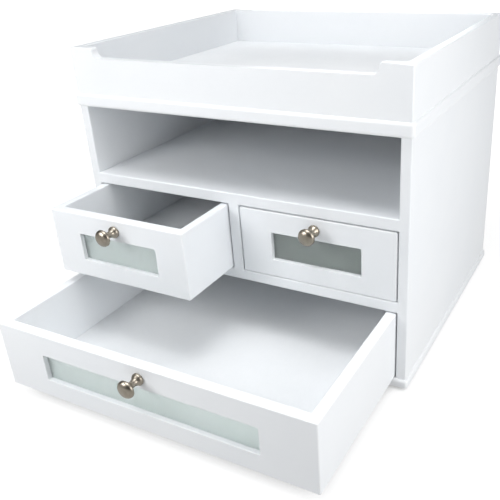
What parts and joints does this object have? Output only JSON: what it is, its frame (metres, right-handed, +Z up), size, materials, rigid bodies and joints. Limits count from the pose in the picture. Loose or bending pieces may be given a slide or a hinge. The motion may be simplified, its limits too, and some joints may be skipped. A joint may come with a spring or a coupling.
{
  "type": "desk organizer",
  "caption": "Box-shaped wooden desk organizer with an open tray on top, an open shelf below it and sliding drawers with glass windows and round knobs, for papers and desk supplies.",
  "frame": {"origin": "on the surface it stands on, under the middle of the whole object's box with the drawers as stored", "axes": "+X to the object's right seen from the front, -Y out of the front (drawers open along -Y), +Z up"},
  "size_m": [0.326, 0.437, 0.2771],
  "materials": {
    "white_lacquer": "satin white lacquer on fibreboard",
    "white_hardboard": "matt white painted hardboard",
    "frosted_glass": "frosted, slightly green",
    "brushed_nickel": "brushed nickel plate",
    "zinc_screw": "bright zinc plate",
    "grey_rubber": "matt"
  },
  "bodies": {
    "case": {"base_board": "white_lacquer", "left_side_panel": "white_lacquer", "right_side_panel": "white_lacquer", "middle_board": "white_lacquer", "drawer_divider": "white_lacquer", "shelf_board": "white_lacquer", "top_board": "white_lacquer", "back_panel": "white_hardboard", "back_panel_screw_1": "zinc_screw", "back_panel_screw_2": "zinc_screw", "back_panel_screw_3": "zinc_screw", "back_panel_screw_4": "zinc_screw", "back_panel_screw_5": "zinc_screw", "back_panel_screw_6": "zinc_screw", "tray_front_rail": "white_lacquer", "tray_back_rail": "white_lacquer", "tray_left_rail": "white_lacquer", "tray_right_rail": "white_lacquer", "tray_floor": "white_hardboard", "tray_screw_1": "zinc_screw", "tray_screw_2": "zinc_screw", "tray_screw_3": "zinc_screw", "tray_screw_4": "zinc_screw", "foot_front_left": "grey_rubber", "foot_front_right": "grey_rubber", "foot_back_left": "grey_rubber", "foot_back_right": "grey_rubber"},
    "left_drawer": {"left_drawer_front": "white_lacquer", "left_drawer_left_wall": "white_lacquer", "left_drawer_right_wall": "white_lacquer", "left_drawer_back_wall": "white_lacquer", "left_drawer_bottom": "white_hardboard", "left_drawer_glass_pane": "frosted_glass", "left_drawer_glass_strip_left": "white_lacquer", "left_drawer_glass_strip_right": "white_lacquer", "left_drawer_knob": "brushed_nickel", "left_drawer_knob_screw": "zinc_screw"},
    "right_drawer": {"right_drawer_front": "white_lacquer", "right_drawer_left_wall": "white_lacquer", "right_drawer_right_wall": "white_lacquer", "right_drawer_back_wall": "white_lacquer", "right_drawer_bottom": "white_hardboard", "right_drawer_glass_pane": "frosted_glass", "right_drawer_glass_strip_left": "white_lacquer", "right_drawer_glass_strip_right": "white_lacquer", "right_drawer_knob": "brushed_nickel", "right_drawer_knob_screw": "zinc_screw"},
    "wide_drawer": {"wide_drawer_front": "white_lacquer", "wide_drawer_left_wall": "white_lacquer", "wide_drawer_right_wall": "white_lacquer", "wide_drawer_back_wall": "white_lacquer", "wide_drawer_bottom": "white_hardboard", "wide_drawer_glass_pane": "frosted_glass", "wide_drawer_glass_strip_left": "white_lacquer", "wide_drawer_glass_strip_right": "white_lacquer", "wide_drawer_knob": "brushed_nickel", "wide_drawer_knob_screw": "zinc_screw"}
  },
  "joints": [
    {"name": "left_drawer_slide", "type": "slide", "parent": "case", "child": "left_drawer", "axis": [0, -1, 0], "range_m": [-0.066, 0.134]},
    {"name": "right_drawer_slide", "type": "slide", "parent": "case", "child": "right_drawer", "axis": [0, -1, 0], "range_m": [0, 0.2]},
    {"name": "wide_drawer_slide", "type": "slide", "parent": "case", "child": "wide_drawer", "axis": [0, -1, 0], "range_m": [-0.145, 0.055]}
  ]
}
